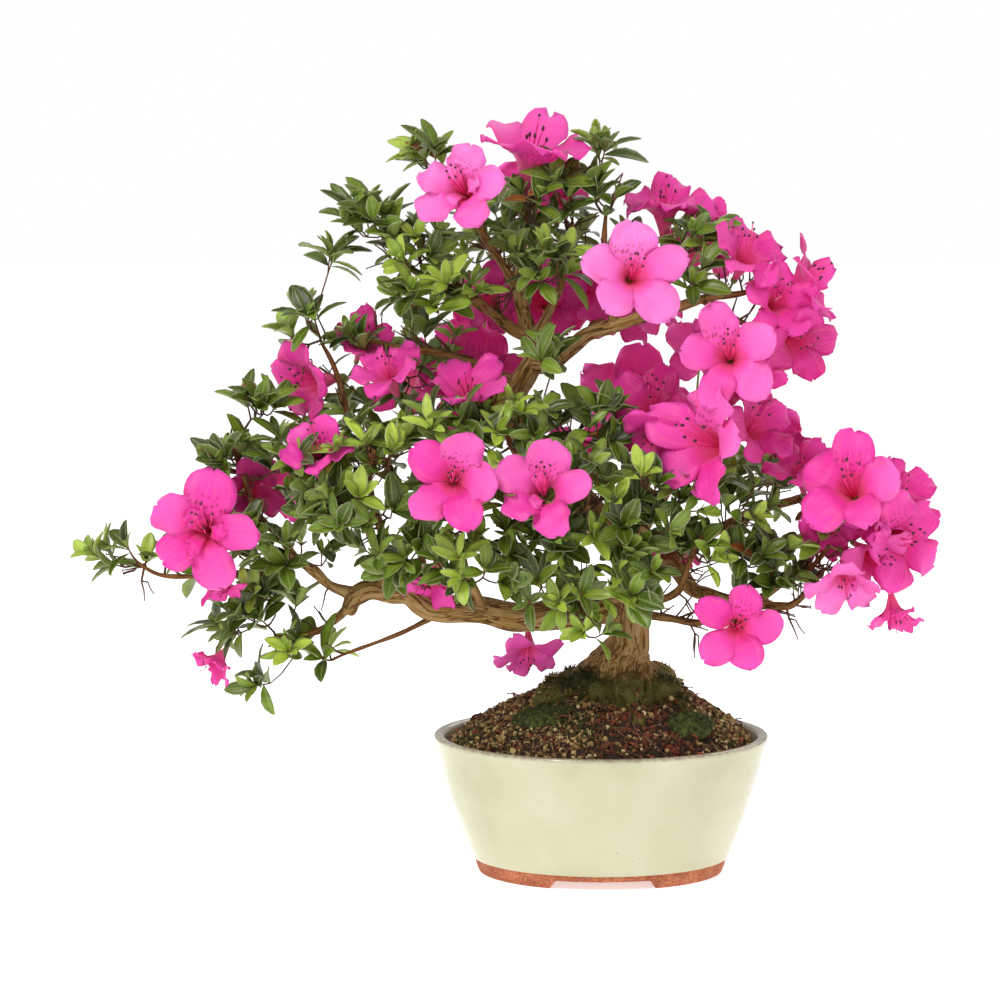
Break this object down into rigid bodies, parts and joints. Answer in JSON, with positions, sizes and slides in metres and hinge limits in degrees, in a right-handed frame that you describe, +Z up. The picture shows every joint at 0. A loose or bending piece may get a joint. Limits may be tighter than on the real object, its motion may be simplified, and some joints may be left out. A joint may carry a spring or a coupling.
{
  "type": "flowering azalea bonsai in a pot",
  "caption": "Spreading azalea bonsai in full magenta flower, with a bent trunk and long left limb, growing from mounded soil in a cream-green glazed oval pot on two feet.",
  "frame": {"origin": "middle of the whole bonsai's footprint box, on the surface that the pot's feet stand on; the pot's own centre is 58 mm along +X and 6 mm along +Y from it", "axes": "+X along the pot's length to the right as seen from the front, +Y to the back, +Z up"},
  "size_m": [0.5232, 0.2518, 0.4588],
  "materials": {
    "glaze": "gloss",
    "screen_plastic": "matte",
    "soil": "matte",
    "moss": "matte",
    "bark": "matte",
    "leaf": "satin",
    "petal": "satin"
  },
  "bodies": {
    "root": {"pot": "glaze", "drain_screen_left": "screen_plastic", "drain_screen_right": "screen_plastic", "soil_mound": "soil", "moss_left": "moss", "moss_right": "moss", "trunk_and_branches": "bark", "flower_01": "petal", "flower_02": "petal", "flower_03": "petal", "flower_04": "petal", "flower_05": "petal", "flower_06": "petal", "flower_07": "petal", "flower_08": "petal", "flower_09": "petal", "flower_10": "petal", "flower_11": "petal", "flower_12": "petal", "flower_13": "petal", "flower_14": "petal", "flower_15": "petal", "flower_16": "petal", "flower_17": "petal", "flower_18": "petal", "flower_19": "petal", "flower_20": "petal", "flower_21": "petal", "flower_22": "petal", "flower_23": "petal", "flower_24": "petal", "flower_25": "petal", "flower_26": "petal", "flower_27": "petal", "flower_28": "petal", "leaf_spray_01": "leaf", "leaf_spray_02": "leaf", "leaf_spray_03": "leaf", "leaf_spray_04": "leaf", "leaf_spray_05": "leaf", "leaf_spray_06": "leaf", "leaf_spray_07": "leaf", "leaf_spray_08": "leaf", "leaf_spray_09": "leaf", "leaf_spray_10": "leaf", "leaf_spray_11": "leaf", "leaf_spray_12": "leaf", "leaf_spray_13": "leaf", "leaf_spray_14": "leaf", "leaf_spray_15": "leaf", "leaf_spray_16": "leaf", "leaf_spray_17": "leaf", "leaf_spray_18": "leaf", "leaf_spray_19": "leaf", "leaf_spray_20": "leaf", "leaf_spray_21": "leaf", "leaf_spray_22": "leaf", "leaf_spray_23": "leaf", "leaf_spray_24": "leaf", "leaf_spray_25": "leaf"}
  },
  "joints": []
}
